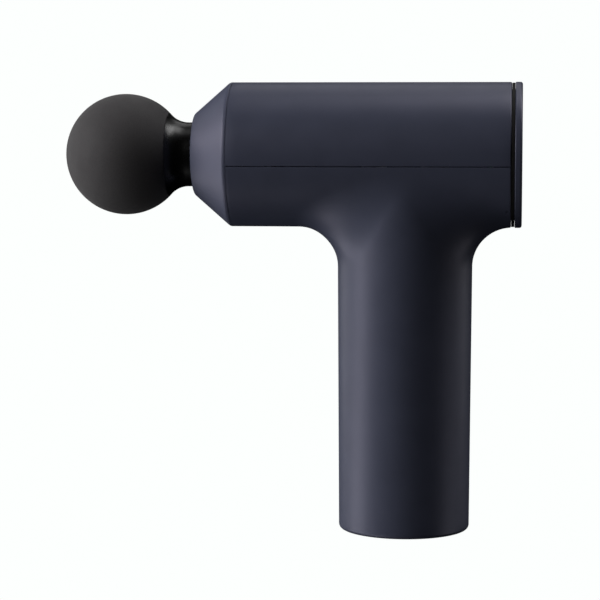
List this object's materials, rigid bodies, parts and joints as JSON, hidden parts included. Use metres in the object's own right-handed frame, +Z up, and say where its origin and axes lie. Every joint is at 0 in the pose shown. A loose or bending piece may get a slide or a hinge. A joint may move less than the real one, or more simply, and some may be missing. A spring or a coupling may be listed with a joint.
{
  "type": "massage gun",
  "caption": "Compact T-shaped percussion massager: round barrel with cone nose and ball head on a piston, straight round battery handle, power button in the rear cap.",
  "frame": {"origin": "centre of the handle's flat bottom face", "axes": "+Z up along the handle, -X along the barrel towards the ball head, +Y to the right side of the barrel seen from the rear"},
  "size_m": [0.1398, 0.0442, 0.1368],
  "materials": {
    "slate_plastic": "satin moulded plastic, fine texture",
    "collar_plastic": "satin moulded plastic, same colour as the body",
    "black_foam": "matt dense foam",
    "gloss_black": "glossy moulded plastic",
    "seal_rubber": "matt rubber",
    "nylon": "moulded nylon",
    "cast_aluminium": "machined",
    "steel": "turned",
    "lamination": "stacked electrical steel",
    "acetal": "turned acetal",
    "copper": "enamelled winding wire",
    "nickel": "plated strip",
    "cell_sleeve": null,
    "circuit_board": "solder-masked board",
    "light_pipe": "milky light pipe",
    "red_lead": "silicone insulation",
    "black_lead": "silicone insulation",
    "yellow_lead": "insulating sleeve"
  },
  "bodies": {
    "housing": {"main_housing": "slate_plastic", "top_cover": "slate_plastic", "nose_collar": "collar_plastic", "rear_cap": "slate_plastic", "base_cap": "slate_plastic", "rear_gasket": "seal_rubber", "dust_seal": "seal_rubber", "front_buffer": "seal_rubber", "speed_light_1": "light_pipe", "speed_light_2": "light_pipe", "speed_light_3": "light_pipe", "charge_light": "light_pipe", "usb_socket": "steel", "base_screw_left": "steel", "base_screw_right": "steel", "piston_bush": "acetal", "stator_core": "lamination", "stator_winding": "copper", "bearing_lower": "steel", "bearing_upper": "steel", "motor_base": "cast_aluminium", "motor_screw_1": "steel", "motor_screw_2": "steel", "motor_screw_3": "steel", "drive_frame": "cast_aluminium", "frame_screw_1": "steel", "frame_screw_2": "steel", "frame_screw_3": "steel", "frame_screw_4": "steel", "battery_cell_left": "cell_sleeve", "battery_cell_right": "cell_sleeve", "battery_holder_lower": "nylon", "battery_holder_upper": "nylon", "nickel_bridge": "nickel", "charge_board": "circuit_board", "control_board": "circuit_board", "tact_switch": "nylon", "board_screw_left": "steel", "board_screw_right": "steel", "battery_lead_red": "red_lead", "battery_lead_black": "black_lead", "motor_lead": "yellow_lead"},
    "rotor": {"crank": "steel", "crank_clip": "steel", "motor_shaft": "steel", "rotor_bell": "steel", "rotor_magnets": "lamination"},
    "rod": {"connecting_rod": "cast_aluminium", "big_end_bearing": "steel"},
    "piston": {"piston": "cast_aluminium", "wrist_pin": "steel"},
    "head": {"ball_head": "black_foam", "head_stem": "gloss_black", "head_ring_front": "seal_rubber", "head_ring_rear": "seal_rubber"},
    "button": {"power_button": "slate_plastic"}
  },
  "joints": [
    {"name": "motor_spin", "type": "hinge", "parent": "housing", "child": "rotor", "pos_m": [0, 0, 0.1148], "axis": [0, 0, 1], "range_deg": [-90, 90]},
    {"name": "rod_swing", "type": "hinge", "parent": "rotor", "child": "rod", "pos_m": [0, 0.003, 0.1148], "axis": [0, 0, 1], "range_deg": [-91, 91]},
    {"name": "piston_slide", "type": "slide", "parent": "housing", "child": "piston", "axis": [-1, 0, 0], "range_m": [-0.003, 0.003]},
    {"name": "head_pull", "type": "slide", "parent": "piston", "child": "head", "axis": [-1, 0, 0], "range_m": [0, 0.02]},
    {"name": "button_press", "type": "slide", "parent": "housing", "child": "button", "axis": [-1, 0, 0], "range_m": [0, 0.0005], "stiffness_N_per_m": 2000, "springref_m": -0.0002}
  ],
  "couplings": [
    {"joint": "rod_swing", "follows": "motor_spin", "ratio": -1},
    {"joint": "piston_slide", "follows": "motor_spin", "m_per_rad": 0.0019098}
  ]
}
